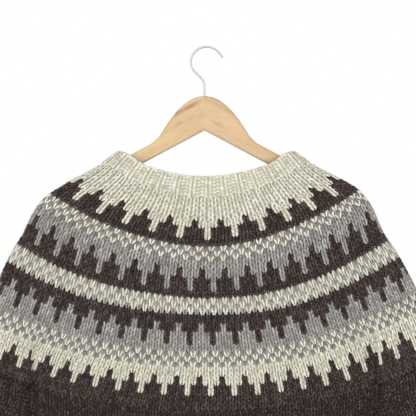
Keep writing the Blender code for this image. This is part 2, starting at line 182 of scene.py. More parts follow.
FLOOR_RADIUS = 2.2  # metres
FLOOR_HEIGHT = -0.95
paper, _, _ = new_material("white_paper", Base_Color=linear("#f2f1ee"), Roughness=0.9)
floor_maker = bmesh.new()
bmesh.ops.create_circle(floor_maker, cap_ends=True, segments=96, radius=FLOOR_RADIUS)
bmesh.ops.translate(floor_maker, verts=floor_maker.verts, vec=(0.0, 0.0, FLOOR_HEIGHT))
floor_mesh = bpy.data.meshes.new("floor")
floor_maker.to_mesh(floor_mesh)
floor_maker.free()
floor = bpy.data.objects.new("floor", floor_mesh)
floor_mesh.materials.append(paper)
bpy.context.scene.collection.objects.link(floor)

# %% [markdown]
# ## The form of the garment
#
# The solid model draws its tubes from a few tables, and the stitches have to lie on exactly those tubes. So
# the tables are repeated here in millimetres. Smooth curves run through their rows, and each ring is a
# flattened oval. The yoke's rings part into a body and two sleeves towards the underarms.

# %% The tables of the form
NECKLINE = -182.0
NECKBAND_DEEP = 28.0
YOKE_DEEP = 330.0
HEM_TOP = -765.0
HEM_END = -825.0
HEM_SHARE = 0.2  # how much further the body's table goes for the hem band, as a share of the body
PARTING = 242.3  # across, where a sleeve starts
PARTING_GAP = 0.6
VALLEY = 9.0
BODY_DEPTH = 40.0
SLEEVE_DEPTH = 37.0
FULLNESS = 2.3
NECK_WALL = 5.0
RIB_RISE = 1.2
CUFF_STEP = 6
CUFF_DRAW = 2.5

# down from the neckline, end on the shoulder line, its height, power of the curve, half depth, share parted
YOKE_ROWS = (
    (0.0, 117.0, -147.0, 2.10, 31.0, 0.00),
    (28.0, 140.5, -162.0, 1.95, 35.0, 0.00),
    (88.5, 208.0, -199.0, 1.78, 40.0, 0.00),
    (111.0, 229.3, -214.7, 1.85, 41.0, 0.00),
    (161.0, 256.0, -266.0, 2.03, 42.0, 0.00),
    (183.0, 271.0, -288.0, 2.20, 43.0, 0.04),
    (245.0, 303.5, -348.0, 2.20, 43.0, 0.35),
    (310.0, 337.0, -411.0, 2.20, 43.0, 0.88),
    (330.0, 347.0, -431.0, 2.20, 43.0, 1.00),
)
# down from the neckline, and how much further the askew knitting reaches there on the left and on the right
REACHES = (
    (0.0, 3.0, 8.0),
    (14.0, 3.5, 8.0),
    (28.0, 2.0, 7.5),
    (60.0, 0.5, 8.0),
    (88.5, 1.0, 8.0),
    (104.0, 0.0, 2.5),
    (125.0, 1.0, 0.0),
    (150.0, 3.5, 0.0),
    (175.0, 2.0, 0.0),
    (200.0, 0.0, 0.0),
    (330.0, 0.0, 0.0),
)
REACH_START = 0.25  # share of the half width where the reach starts, and how much more it takes to be whole
REACH_RUN = 0.6
ARM_LIFT = 5.0
ARM_LIFT_AT = 0.89
ARM_LIFT_WIDTH = 0.08
ARM_LIFT_DEEP = 45.0
# share of the way from the yoke to the hem band, half width, half depth
BODY_ROWS = (
    (0.0, 241.7, 40.0),
    (0.3, 239.5, 43.0),
    (0.65, 234.0, 40.0),
    (1.0, 226.0, 36.0),
    (1.2, 219.0, 33.0),
)
# step, inner edge and its height, outer edge and its height, half depth
SLEEVE_ROWS = (
    (0, 242.9, -475.1, 347.0, -431.0, 37.0),
    (1, 243.4, -510.0, 361.0, -470.0, 38.0),
    (2, 247.0, -560.0, 374.0, -528.0, 38.0),
    (3, 259.0, -640.0, 383.0, -618.0, 36.0),
    (4, 274.0, -720.0, 389.0, -702.0, 34.0),
    (5, 289.0, -790.0, 392.0, -776.0, 31.0),
    (6, 300.0, -842.0, 394.0, -830.0, 28.0),
    (7, 311.0, -904.0, 393.0, -894.0, 25.0),
)
# a fold's place across the cloth, its lean, half width and rise, and the heights where it starts and is full
FRONT_FOLDS = (
    (-176.0, 0.10, 30.0, 6.0, -545.0, -690.0),
    (-88.0, -0.06, 40.0, -5.5, -590.0, -740.0),
    (22.0, 0.05, 34.0, 6.5, -560.0, -705.0),
    (112.0, -0.09, 36.0, -5.0, -570.0, -730.0),
    (186.0, -0.07, 24.0, 5.0, -540.0, -660.0),
)
BACK_FOLDS = (
    (-150.0, 0.08, 36.0, 5.5, -560.0, -720.0),
    (-38.0, -0.05, 42.0, -6.0, -550.0, -700.0),
    (74.0, 0.06, 34.0, 6.0, -580.0, -745.0),
    (168.0, -0.08, 30.0, -4.5, -545.0, -690.0),
)


# %% Rings of the form
def smooth_through(rows, at):
    """Each column of a table where its first column is at, on smooth curves; ready to spread round a ring."""
    values = np.array(rows, float)
    keys = values[:, 0]
    slopes = np.gradient(values, keys, axis=0)
    k = np.clip(np.searchsorted(keys, at) - 1, 0, len(keys) - 2)
    span = (keys[k + 1] - keys[k])[:, None]
    t = (at - keys[k])[:, None] / span
    found = (
        (2 * t**3 - 3 * t**2 + 1) * values[k]
        + (t**3 - 2 * t**2 + t) * span * slopes[k]
        + (3 * t**2 - 2 * t**3) * values[k + 1]
        + (t**3 - t**2) * span * slopes[k + 1]
    )
    return found.T[1:, :, None]


FINE = 2880
turn = 2 * math.pi * np.arange(FINE + 1) / FINE
flat = 2 / FULLNESS
ACROSS = np.sign(-np.cos(turn)) * np.abs(np.cos(turn)) ** flat
THROUGH = np.sign(-np.sin(turn)) * np.abs(np.sin(turn)) ** flat
EVEN = np.abs(THROUGH)


def eased(t):
    """0 up to 0, 1 from 1, and smooth between."""
    t = np.clip(t, 0, 1)
    return t * t * (3 - 2 * t)


def bulge(share):
    return np.maximum(0.0, 1 - np.abs(share) ** FULLNESS) ** (1 / FULLNESS)


def join_height(across):
    """The height of the join below the yoke."""
    _, edge, height, curve, _, _ = YOKE_ROWS[-1]
    middle = NECKLINE - YOKE_DEEP
    return middle + (height - middle) * np.abs(across / edge) ** curve


def parted_depth(across, edge):
    """Half the depth where the yoke parts: a lobe for the body, one for each sleeve and a valley between."""
    body = BODY_DEPTH * bulge(across / (PARTING - PARTING_GAP))
    middle = (edge + PARTING + PARTING_GAP) / 2
    half = (edge - PARTING - PARTING_GAP) / 2
    sleeve = SLEEVE_DEPTH * bulge((np.abs(across) - middle) / half)
    return (body**4 + sleeve**4 + (VALLEY * EVEN) ** 4) ** 0.25


def yoke_rings(down):
    """Rings of the yoke at depths below the neckline, each from its left edge round by the front."""
    edge, height, curve, depth, parted = smooth_through(YOKE_ROWS, down)
    x = edge * ACROSS
    middle = NECKLINE - down[:, None]
    z = middle + (height - middle) * np.abs(ACROSS) ** curve
    parted = np.clip(parted, 0.0, 1.0)
    y = (1 - parted) * depth * EVEN + parted * parted_depth(x, edge)
    left, right = smooth_through(REACHES, down)
    aside = np.where(ACROSS > 0, right, -left) * eased((np.abs(ACROSS) - REACH_START) / REACH_RUN)
    near_arm = np.exp(-(((np.abs(ACROSS) - ARM_LIFT_AT) / ARM_LIFT_WIDTH) ** 2))
    up = ARM_LIFT * eased(1 - down / ARM_LIFT_DEEP)[:, None] * near_arm
    return np.stack([x + aside, np.sign(THROUGH) * y, z + up], axis=-1)


def fold_rise(across, height, folds):
    rise = np.zeros_like(across)
    for place, lean, width, out, start, full in folds:
        middle = place + lean * (start - height)
        off = (across - middle) / width
        rise += out * eased((start - height) / (start - full)) * np.exp(-(off**2))
    return rise


def body_rings(share):
    """Rings of the body and its hem band."""
    half_width, depth = smooth_through(BODY_ROWS, share)
    x = half_width * ACROSS
    fall = np.minimum(share, 1.0)[:, None]
    below = np.maximum(share - 1.0, 0.0)[:, None] / HEM_SHARE
    z = (1 - fall) * join_height(x) + fall * HEM_TOP + below * (HEM_END - HEM_TOP)
    folds = np.where(THROUGH < 0, fold_rise(x, z, FRONT_FOLDS), fold_rise(x, z, BACK_FOLDS))
    return np.stack([x, np.sign(THROUGH) * (depth * EVEN + folds * EVEN**2), z], axis=-1)


def sleeve_rings(step, draw=0.0):
    """Rings of the right sleeve."""
    inner_x, inner_z, outer_x, outer_z, depth = smooth_through(SLEEVE_ROWS, step)
    wide = np.hypot(outer_x - inner_x, outer_z - inner_z)
    half = wide / 2 - draw
    x = (inner_x + outer_x) / 2 + half * ACROSS * (outer_x - inner_x) / wide
    z = (inner_z + outer_z) / 2 + half * ACROSS * (outer_z - inner_z) / wide
    above = np.maximum(0.0, 1 - step)[:, None]
    z = z + above * (join_height(x) - z)
    return np.stack([x, (depth - draw) * THROUGH + 0 * x, z], axis=-1)


# %% [markdown]
# ## Creases
#
# Hanging cloth is never even. Where the arm meets the body, pulls run from the underarm towards the shoulder,
# and the plain parts fall in long soft folds. Each crease is a line on the front or the back, a little bowed,
# with its own width and rise. It fades out towards its ends, and the knitting dips or swells along it.

# %% Creases of the cloth
CREASE_BOW = 0.06  # of a crease's length, as are the next four
CREASE_EARLY = 0.10  # how far before its start it begins, and over what length it grows
CREASE_GROWS = 0.35
CREASE_LATE = 0.15  # how far past its end it ends, and over what length it fades
CREASE_FADES = 0.50
EDGE_CALM = 16.0  # mm of depth: nearer to the side edge than that the creases fade out
Crease = namedtuple("Crease", "from_x from_z to_x to_z width rise")
FRONT_CREASES = (
    Crease(-236.0, -478.0, -176.0, -372.0, 13.0, -4.6),
    Crease(-214.0, -498.0, -132.0, -418.0, 15.0, 3.4),
    Crease(-262.0, -432.0, -228.0, -340.0, 14.0, 3.2),
    Crease(-196.0, -520.0, -108.0, -470.0, 15.0, -3.4),
    Crease(-300.0, -470.0, -262.0, -372.0, 15.0, -3.0),
    Crease(238.0, -480.0, 186.0, -384.0, 14.0, -4.8),
    Crease(218.0, -500.0, 150.0, -424.0, 14.0, 3.6),
    Crease(266.0, -436.0, 236.0, -352.0, 15.0, 3.4),
    Crease(200.0, -524.0, 122.0, -480.0, 16.0, -3.2),
    Crease(306.0, -476.0, 270.0, -384.0, 14.0, -2.8),
    Crease(-60.0, -356.0, -46.0, -480.0, 26.0, 2.4),
    Crease(64.0, -340.0, 70.0, -470.0, 28.0, -2.2),
    Crease(-120.0, -240.0, -168.0, -320.0, 20.0, 2.0),
    Crease(128.0, -236.0, 172.0, -318.0, 20.0, -1.8),
    Crease(-227.0, -456.0, -224.0, -540.0, 8.0, 7.0),
    Crease(228.0, -468.0, 225.0, -560.0, 9.0, 5.0),
)
BACK_CREASES = (
    Crease(-238.0, -480.0, -182.0, -380.0, 14.0, -4.4),
    Crease(-212.0, -502.0, -140.0, -430.0, 15.0, 3.4),
    Crease(-264.0, -436.0, -232.0, -350.0, 15.0, 3.0),
    Crease(240.0, -478.0, 178.0, -378.0, 13.0, -4.6),
    Crease(216.0, -500.0, 142.0, -422.0, 16.0, 3.2),
    Crease(268.0, -440.0, 238.0, -344.0, 14.0, 3.2),
    Crease(-30.0, -330.0, -38.0, -470.0, 30.0, -2.4),
    Crease(88.0, -350.0, 74.0, -480.0, 26.0, 2.4),
    Crease(-228.0, -462.0, -225.0, -550.0, 9.0, 5.0),
    Crease(227.0, -458.0, 224.0, -540.0, 8.0, 6.0),
)
SLEEVE_CREASES = (
    Crease(250.0, -446.0, 247.0, -534.0, 10.0, -23.0),
    Crease(258.0, -560.0, 352.0, -520.0, 12.0, -3.2),
    Crease(262.0, -592.0, 366.0, -566.0, 11.0, 2.6),
    Crease(268.0, -640.0, 330.0, -600.0, 12.0, -3.0),
    Crease(300.0, -668.0, 382.0, -640.0, 12.0, 2.8),
    Crease(284.0, -724.0, 352.0, -690.0, 11.0, -2.8),
    Crease(308.0, -752.0, 388.0, -728.0, 12.0, 2.6),
    Crease(300.0, -806.0, 372.0, -778.0, 10.0, -2.4),
)


def crease_rise(x, z, creases):
    """How far the creases move points of the cloth out."""
    rise = np.zeros_like(x)
    for crease in creases:
        run = np.array([crease.to_x - crease.from_x, crease.to_z - crease.from_z])
        long = np.hypot(*run)
        along = ((x - crease.from_x) * run[0] + (z - crease.from_z) * run[1]) / long**2
        off = ((x - crease.from_x) * run[1] - (z - crease.from_z) * run[0]) / long
        off = off - CREASE_BOW * long * np.sin(math.pi * np.clip(along, 0, 1))
        ends = eased((along + CREASE_EARLY) / CREASE_GROWS) * eased((1 + CREASE_LATE - along) / CREASE_FADES)
        rise += crease.rise * ends * np.exp(-((off / crease.width) ** 2))
    return rise


def creased(rings, front, back):
    """Rings whose points the creases have moved, less near the side edges, where the cloth turns round."""
    x, y, z = np.moveaxis(rings, -1, 0)
    rise = np.where(y < 0, crease_rise(x, z, front), crease_rise(x, z, back))
    full = eased(np.abs(y) / EDGE_CALM)
    moved = rings.copy()
    moved[..., 1] += np.sign(y) * rise * full
    return moved


# %% [markdown]
# ## Cloth that can be read anywhere
#
# A stitch needs to know where it lies and which way is out. Each tube is kept as a fine grid of points,
# spread evenly round every ring, because a knitter's stitches are equally wide. A place on the cloth is then
# a share of the way round (0 is the left edge, a quarter the middle of the front) and a distance down in mm.

# %% A knitted tube as a grid
ROUND = 1440


class Cloth:
    """A tube of rings at places down its length, resampled evenly round each ring."""

    def __init__(self, rings, places):
        steps = np.linalg.norm(np.diff(rings, axis=1), axis=2)
        along = np.concatenate([np.zeros((len(rings), 1)), np.cumsum(steps, axis=1)], axis=1)
        self.lengths = along[:, -1]
        shares = np.arange(ROUND) / ROUND
        self.points = np.stack(
            [
                np.stack([np.interp(shares * a[-1], a, ring[:, axis]) for axis in range(3)], axis=-1)
                for a, ring in zip(along, rings)
            ]
        )
        self.places = places
        self.find_outward()

    def find_outward(self):
        round_it = np.roll(self.points, -2, axis=1) - np.roll(self.points, 2, axis=1)
        down_it = np.gradient(self.points, axis=0)
        outward = np.cross(down_it, round_it)
        self.outward = outward / np.maximum(np.linalg.norm(outward, axis=2), 1e-9)[..., None]

    def length_at(self, place):
        return float(np.interp(place, self.places, self.lengths))

    def middle_at(self, place):
        """The share of the way round at which the middle of the front lies."""
        row = int(np.argmin(np.abs(self.places - place)))
        near = slice(ROUND // 8, 3 * ROUND // 8)
        return float(np.interp(0.0, self.points[row, near, 0], np.arange(ROUND)[near])) / ROUND

    def at(self, share, place, inside=0.0):
        """Points that lie some way inside the surface, and the outward directions there."""
        column = (np.asarray(share) % 1.0) * ROUND
        c = np.floor(column).astype(int) % ROUND
        c_part = (column - np.floor(column))[..., None]
        r = np.clip(np.searchsorted(self.places, place) - 1, 0, len(self.places) - 2)
        r_part = ((place - self.places[r]) / (self.places[r + 1] - self.places[r]))[..., None]

        def between(grid):
            after = (c + 1) % ROUND
            upper = (1 - c_part) * grid[r, c] + c_part * grid[r, after]
            lower = (1 - c_part) * grid[r + 1, c] + c_part * grid[r + 1, after]
            return (1 - r_part) * upper + r_part * lower

        outward = between(self.outward)
        outward /= np.linalg.norm(outward, axis=-1)[..., None]
        return between(self.points) - np.asarray(inside)[..., None] * outward, outward


# %% The yoke's cloth
YOKE_STEP = 2.0
yoke_places = np.arange(0.0, YOKE_DEEP + YOKE_STEP / 2, YOKE_STEP)
yoke = Cloth(creased(yoke_rings(yoke_places), FRONT_CREASES, BACK_CREASES), yoke_places)

# %% [markdown]
# The bands of the real yoke don't hang quite level or even: they ride up towards one shoulder and sink at the
# other, and near the underarms the knitting is pushed together. A few pulls say how far.

# %% How the bands hang
DRAWN_IN = 23.0  # mm by which the side stitches of the lowest rows come round to the front
DRAWN_FROM = 90.0  # mm below the neckline where that starts
DRAWN_FULL = 312.0
DRAWN_AT = 0.25  # share of a turn from the middle of the front to the sides
NECK_TURN = 2.0  # mm by which the neckband is turned round to the right
NECK_SPREAD = 26.0  # mm by which its front is spread, for a whole turn
NECK_REACH = 100.0  # mm below the neckline where both have ended
Pull = namedtuple("Pull", "across down wide tall sink")
PULL_RUN = 18.0  # mm over which the pulls end above the underarms
PULLS = (  # share of a turn from the middle, mm below the neckline, how wide and tall, mm it hangs lower
    Pull(0.00, 40.0, 0.16, 35.0, 1.3),
    Pull(0.25, 105.0, 0.09, 75.0, -7.0),
    Pull(0.21, 255.0, 0.08, 65.0, -5.5),
    Pull(-0.24, 265.0, 0.11, 60.0, 9.5),
    Pull(0.06, 130.0, 0.05, 70.0, 1.5),
    Pull(-0.16, 100.0, 0.05, 50.0, 1.8),
    Pull(-0.06, 200.0, 0.04, 50.0, -1.2),
    Pull(0.13, 312.0, 0.03, 22.0, 5.0),
    Pull(-0.04, 312.0, 0.06, 25.0, -2.2),
)


def hang(share, place):
    """Where a stitch really hangs that is charted at that share of the way round and that far down."""
    share = np.asarray(share, float)
    round_it = share % 1.0
    across = np.minimum(round_it, 1 - round_it) - DRAWN_AT
    drawn = DRAWN_IN * np.clip((place - DRAWN_FROM) / (DRAWN_FULL - DRAWN_FROM), 0, 1) ** 1.6
    slide = -drawn * np.sign(across) * np.abs(across / DRAWN_AT) ** 2.5
    slide = slide + (NECK_TURN + NECK_SPREAD * across) * np.clip(1 - place / NECK_REACH, 0, 1)
    sink = 0.0 * across
    for pull in PULLS:
        away = ((across - pull.across) / pull.wide) ** 2 + ((place - pull.down) / pull.tall) ** 2
        sink = sink + pull.sink * np.exp(-away)
    ends = eased(place / NECKBAND_DEEP) * eased((YOKE_DEEP - place) / PULL_RUN)
    return share + slide / np.interp(place, yoke.places, yoke.lengths), place + sink * ends


print("the yoke is", round(yoke.length_at(YOKE_DEEP)), "mm round at the underarms")

# %% The body's and the sleeves' cloth
BODY_LONG = NECKLINE - YOKE_DEEP - HEM_TOP
HEM_LONG = HEM_TOP - HEM_END
body_shares = np.linspace(0.0, 1 + HEM_SHARE, 121)
body_places = np.interp(body_shares, (0, 1, 1 + HEM_SHARE), (0, BODY_LONG, BODY_LONG + HEM_LONG))
body = Cloth(creased(body_rings(body_shares), FRONT_CREASES, BACK_CREASES), body_places)


def places_down(rings):
    """The length down the middle of the front to each ring."""
    middle = rings[:, rings.shape[1] // 4]
    return np.concatenate([[0.0], np.cumsum(np.linalg.norm(np.diff(middle, axis=0), axis=1))])


# A hanging sleeve rests against the body below the underarm, so its inner side is let out until they touch.
TOUCH_STEPS = (0.0, 1.0, 1.6, 2.6)
TOUCH_OUT = (2.4, 3.6, 5.2, 0.0)
TOUCH_FROM = 0.2  # of the half width
sleeve_steps = np.linspace(0.0, CUFF_STEP, 181)
sleeve_form = sleeve_rings(sleeve_steps)
touch = np.interp(sleeve_steps, TOUCH_STEPS, TOUCH_OUT)
sleeve_form[..., 0] -= touch[:, None] * eased((-ACROSS - TOUCH_FROM) / (1 - TOUCH_FROM))
right_sleeve = Cloth(creased(sleeve_form, SLEEVE_CREASES, SLEEVE_CREASES), places_down(sleeve_form))
cuff_steps = np.linspace(CUFF_STEP, SLEEVE_ROWS[-1][0], 31)
cuff_form = sleeve_rings(cuff_steps, CUFF_DRAW)
right_cuff = Cloth(cuff_form, places_down(cuff_form))


def mirrored(cloth, phase):
    """The same tube on the other side. Its creases keep their places but the stitches start elsewhere."""
    other = Cloth.__new__(Cloth)
    flip = np.array([-1.0, 1.0, 1.0])
    other.points = np.roll(cloth.points[:, ::-1], 1, axis=1) * flip
    other.outward = np.roll(cloth.outward[:, ::-1], 1, axis=1) * flip
    other.points = np.roll(other.points, phase, axis=1)
    other.outward = np.roll(other.outward, phase, axis=1)
    other.places, other.lengths = cloth.places, cloth.lengths
    return other


left_sleeve = mirrored(right_sleeve, ROUND // 2)
left_cuff = mirrored(right_cuff, ROUND // 2)
print("sleeve length in mm:", round(right_sleeve.places[-1]), "and cuff:", round(right_cuff.places[-1]))

# %% [markdown]
# ## Wool
#
# The yarn is a thick, softly spun wool. Its fibres scatter light in all directions, so the surface is matt
# with a faint halo of fuzz, and the colour is heathered: lighter and darker fibres are spun together. Every
# leg of yarn carries two values of its own. One is a tone, so that neighbouring stitches differ a little. The
# other is its place along and round the yarn, so that the fibres run along it.

# %% Materials of the yarns
FIBRE = 0.9  # mm between streaks; real fibres are far finer, but these still show
HEATHER = 5.0  # mm between lighter and darker stretches
SPECK = 1.7  # mm between stray fibres of another colour


def make_wool(name, dark, middle, light, fuzz=0.25, stray=0.0):
    """Softly spun wool: matt, streaky along the yarn, with a halo of fuzz and some stray light fibres."""
    wool, tree, shader = new_material(
        name, Roughness=0.92, Specular_IOR_Level=0.25,
        Sheen_Weight=fuzz, Sheen_Roughness=0.5, Sheen_Tint=linear(light),
    )
    yarn = add_node(tree, "ShaderNodeAttribute", attribute_name="yarn")
    tone = add_node(tree, "ShaderNodeAttribute", attribute_name="tone")
    where = add_node(tree, "ShaderNodeTexCoord").outputs["Object"]
    along = {0: yarn.outputs["Vector"], 1: (0.22, 1.0, 1.0)}
    spun = add_node(tree, "ShaderNodeVectorMath", along, operation="MULTIPLY")
    fibres = add_noise(tree, spun.outputs[0], 1 / FIBRE, 2.0, 0.6)
    heather = add_noise(tree, where, 1 / (HEATHER * MM), 3.0, 0.55)
    specks = add_noise(tree, where, 1 / (SPECK * MM), 1.0)
    streaks = multiply_add(tree, fibres, 0.55, -0.275)
    blotches = multiply_add(tree, heather, 0.5, streaks)
    mixed = multiply_add(tree, tone.outputs["Fac"], 0.5, blotches)
    spun_colour = add_ramp(tree, mixed, ((0.2, dark), (0.52, middle), (0.85, light)))
    seen_specks = add_node(tree, "ShaderNodeMapRange", {"Value": specks, 1: 0.62, 2: 0.74, 3: 0.0, 4: stray})
    colour = mix_colours(tree, seen_specks.outputs[0], spun_colour, linear("#b9b2ab"))
    lumps = add_node(tree, "ShaderNodeBump", {"Height": fibres, "Strength": 0.35, "Distance": 0.6 * MM})
    tree.links.new(colour, shader.inputs["Base Color"])
    tree.links.new(lumps.outputs["Normal"], shader.inputs["Normal"])
    return wool


YARNS = {
    "c": make_wool("cream_wool_yarn", "#bfbcaa", "#e0ddcd", "#f4f2e9"),
    "g": make_wool("grey_wool_yarn", "#7d7a76", "#a3a09c", "#cecbc7"),
    "l": make_wool("pale_grey_wool_yarn", "#87857f", "#adaba5", "#cfcdc7"),
    "d": make_wool("dark_brown_wool_yarn", "#211918", "#372b29", "#5b4e4a", stray=0.45),
}
# Painted shade: darker copies of the yarns for the shell behind the stitches, so the gaps between legs look
# shaded.
PAINTED_SHADE = {
    "c": make_wool("cream_wool_painted_shade", "#aba795", "#b9b5a3", "#c8c4b2", 0.0),
    "g": make_wool("grey_wool_painted_shade", "#74726d", "#84827d", "#93918c", 0.0),
    "l": make_wool("pale_grey_wool_painted_shade", "#7f7d77", "#908e88", "#9e9c96", 0.0),
    "d": make_wool("dark_brown_wool_painted_shade", "#241c1b", "#2f2625", "#3a302e", 0.0),
}

# %% [markdown]
# ## A leg of yarn
#
# Each stitch of plain knitting shows two legs that lean together like a V. One leg is a small bean: a sphere
# with few faces, stretched along the yarn. All legs of one yarn are copied into one mesh, since thousands of
# separate objects would be slow. Numpy places every copy at once from the foot and the head of its leg.


# %% Beans of yarn
FOOT_FULL = 0.92  # how full a leg is near its foot and near its head, where 1 is a plain ellipsoid
HEAD_FULL = 1.10


def bean(around, rings):
    """Points and faces of a bean from (0, 0, -0.5) to (0, 0, 0.5), slimmer at its foot."""
    maker = bmesh.new()
    bmesh.ops.create_uvsphere(maker, u_segments=around, v_segments=rings, radius=0.5)
    for vertex in maker.verts:
        full = 1 + 2 * vertex.co.z * ((HEAD_FULL - 1) if vertex.co.z > 0 else (1 - FOOT_FULL))
        vertex.co.x *= full
        vertex.co.y *= full
    points = np.array([vertex.co for vertex in maker.verts])
    faces = [[vertex.index for vertex in face.verts] for face in maker.faces]
    maker.free()
    return points, faces


FULL_BEAN = bean(5, 4)
PLAIN_BEAN = bean(4, 4)
SPARE_BEAN = bean(4, 3)
FIBRE_BEAN = bean(3, 2)
YARN_REACH = 400.0  # mm of yarn from which each leg takes a stretch of its own
TONE_SPREAD = 0.2


class Yarn:
    """Collects legs of yarn, and then makes them one mesh."""

    def __init__(self, name, letter, shape, tone=0.5):
        self.name, self.letter, self.tone = name, letter, tone
        self.points, self.faces = shape
        self.found, self.along, self.tones = [], [], []

    def lay(self, foot, head, outward, half_width, half_depth, bow=0.0, lighter=0.0):
        """Lays one bean from each foot to each head, its flat side to the cloth, bowed sideways by bow mm."""
        run = head - foot
        long = np.linalg.norm(run, axis=1)
        along = run / long[:, None]
        aside = np.cross(outward, along)
        aside /= np.linalg.norm(aside, axis=1)[:, None]
        out = np.cross(along, aside)
        b, c, a = self.points.T
        count = len(foot)
        forward = a * long[:, None]
        sideways = 2 * b * half_width + np.zeros((count, 1))
        outwards = 2 * c * half_depth + np.zeros((count, 1))
        bowed = sideways + bow * (1 - 4 * a**2)
        self.found.append(
            ((foot + head) / 2)[:, None]
            + forward[..., None] * along[:, None]
            + bowed[..., None] * aside[:, None]
            + outwards[..., None] * out[:, None]
        )
        start = random.uniform(0, YARN_REACH, (count, 1))
        self.along.append(np.stack([forward + start, sideways, outwards], axis=-1))
        # lighter is painted light on these legs, or painted shade where it is below 0
        tones = random.normal(self.tone + lighter, TONE_SPREAD, (count, 1))
        self.tones.append(np.repeat(tones, len(a), axis=1))

    def finish(self):
        placed = np.concatenate(self.found)
        legs, each = placed.shape[:2]
        sizes = np.tile([len(face) for face in self.faces], legs)
        corners = np.concatenate([np.array(face) for face in self.faces])
        corners = (corners[None] + each * np.arange(legs)[:, None]).ravel()
        mesh = bpy.data.meshes.new(self.name)
        mesh.vertices.add(legs * each)
        mesh.vertices.foreach_set("co", (placed * MM).astype(np.float32).ravel())
        mesh.loops.add(len(corners))
        mesh.loops.foreach_set("vertex_index", corners.astype(np.int32))
        mesh.polygons.add(len(sizes))
        mesh.polygons.foreach_set("loop_start", np.concatenate([[0], np.cumsum(sizes)[:-1]]).astype(np.int32))
        mesh.update(calc_edges=True)
        yarn = mesh.attributes.new("yarn", "FLOAT_VECTOR", "POINT")
        yarn.data.foreach_set("vector", np.concatenate(self.along).astype(np.float32).ravel())
        tone = mesh.attributes.new("tone", "FLOAT", "POINT")
        tone.data.foreach_set("value", np.concatenate(self.tones).astype(np.float32).ravel())
        mesh.shade_smooth()
        mesh.materials.append(YARNS[self.letter])
        print(self.name, "has", legs, "legs and", int((sizes - 2).sum()), "triangles")
        return add_piece(self.name, mesh)


# %% [markdown]
# ## Fuzz
#
# Single fibres stand out of softly spun wool. They blur the steps between colours and the garment's outline.

# %% Stray fibres
FIBRE_THICK = 0.26  # mm; a few real fibres that cling together
FIBRE_SHORTEST = 3.0
FIBRE_LONGEST = 8.0
FIBRE_BOW = 0.9  # mm, these three: how far a fibre bends, how far its root strays and how far out it starts
FIBRE_SCATTER = 1.4
FIBRE_OUT = 0.9
FIBRE_LEAN = 0.7  # how strongly fibres point outwards; 0 is every way alike
FIBRE_TONE = 0.8


def lay_fuzz(yarn, share):
    """A thin bent fibre out of this share of a yarn's legs, in the same colour."""
    roots = np.concatenate(yarn.found).mean(axis=1)
    roots = roots[random.random(len(roots)) < share]
    outward = np.zeros_like(roots)
    outward[:, 1] = np.sign(roots[:, 1])
    way = random.normal(0, 1, roots.shape) + FIBRE_LEAN * outward
    way /= np.linalg.norm(way, axis=1)[:, None]
    roots = roots + FIBRE_OUT * outward + random.normal(0, FIBRE_SCATTER, roots.shape)
    tips = roots + way * random.uniform(FIBRE_SHORTEST, FIBRE_LONGEST, (len(roots), 1))
    bows = random.normal(0, FIBRE_BOW, (len(roots), 1))
    fuzz = Yarn(yarn.name.replace("stitches", "fuzz"), yarn.letter, FIBRE_BEAN, FIBRE_TONE)
    fuzz.lay(roots, tips, outward, FIBRE_THICK / 2, FIBRE_THICK / 2, bows)
    return fuzz.finish()


# %% [markdown]
# ## Plain stitches
#
# The foot of a V comes out of the stitch below, a little nearer to the eye, and its two heads spread until
# they touch the neighbours and slip behind the next row. So a V is taller than its row. Where one colour runs
# on, the knitting is drawn long and the legs hang nearly straight. Where two colours take turns, the strands
# carried behind draw it short, and every V opens wide.

# %% Laying V stitches
YARN_DEEP = 1.5  # half the depth of a leg
YARN_IN = 1.3  # how far its middle lies inside the form's surface
FOOT_FORWARD = 0.35  # mm by which the feet stand forward
LEG_BOW = 0.04  # of a stitch's width
UNEVEN = 0.05  # of a stitch's width or height
FOOT_UNEVEN = 0.3  # of that, how much the feet stray sideways
# As shares of a stitch's width: how far feet and heads lie from its middle, and half a leg's width. As shares
# of a row's height: how far feet reach below it and heads above it. In mm: how far the heads stand forward.
# And how much lighter its legs are painted there, or darker below 0: painted light and shade.
Vee = namedtuple("Vee", "foot_apart head_apart fat foot_below head_above head_forward lighter")
LONG_CREAM = Vee(0.13, 0.355, 0.190, 0.24, 0.06, 0.0, 0.0)
LONG_GREY = Vee(0.11, 0.36, 0.185, 0.24, 0.08, 0.0, 0.06)
LONG_BROWN = Vee(0.09, 0.36, 0.225, 0.26, 0.04, 0.0, 0.0)
WIDE_CREAM = Vee(0.075, 0.39, 0.190, 0.32, 0.24, 0.8, 0.0)
WIDE_GREY = Vee(0.10, 0.37, 0.180, 0.26, 0.20, 0.3, 0.0)
SHORT_CREAM = Vee(0.06, 0.42, 0.165, 0.22, 0.10, 0.9, 0.35)
SHORT_GREY = Vee(0.10, 0.37, 0.180, 0.20, 0.14, 0.1, -0.3)


def lay_stitches(yarn, cloth, share, top, bottom, wide, vee, level=hang):
    """Lays a V for every share round the cloth, between its row's top and bottom, of that share of width."""
    tall = bottom - top
    length = wide * cloth.length_at(bottom)
    jitter = random.normal(0, UNEVEN, (4, len(share)))
    for side in (-1, 1):
        foot_share = share + side * (vee.foot_apart + FOOT_UNEVEN * jitter[0]) * wide
        head_share = share + side * (vee.head_apart + jitter[1]) * wide
        foot_share, foot_place = level(foot_share, bottom + (vee.foot_below + jitter[2]) * tall)
        head_share, head_place = level(head_share, top + (jitter[3] - vee.head_above) * tall)
        foot, out_foot = cloth.at(foot_share, foot_place, YARN_IN - FOOT_FORWARD)
        head, out_head = cloth.at(head_share, head_place, YARN_IN - vee.head_forward)
        bow = -side * LEG_BOW * length
        yarn.lay(foot, head, out_foot + out_head, vee.fat * length, YARN_DEEP, bow, vee.lighter)


def as_it_is(share, place):
    return share, place


def rows_between(letters, start, end, count):
    """Equal rows: each one's letters, its top and its bottom."""
    edges = np.linspace(start, end, count + 1)
    return [(letters, top, bottom) for top, bottom in zip(edges, edges[1:])]


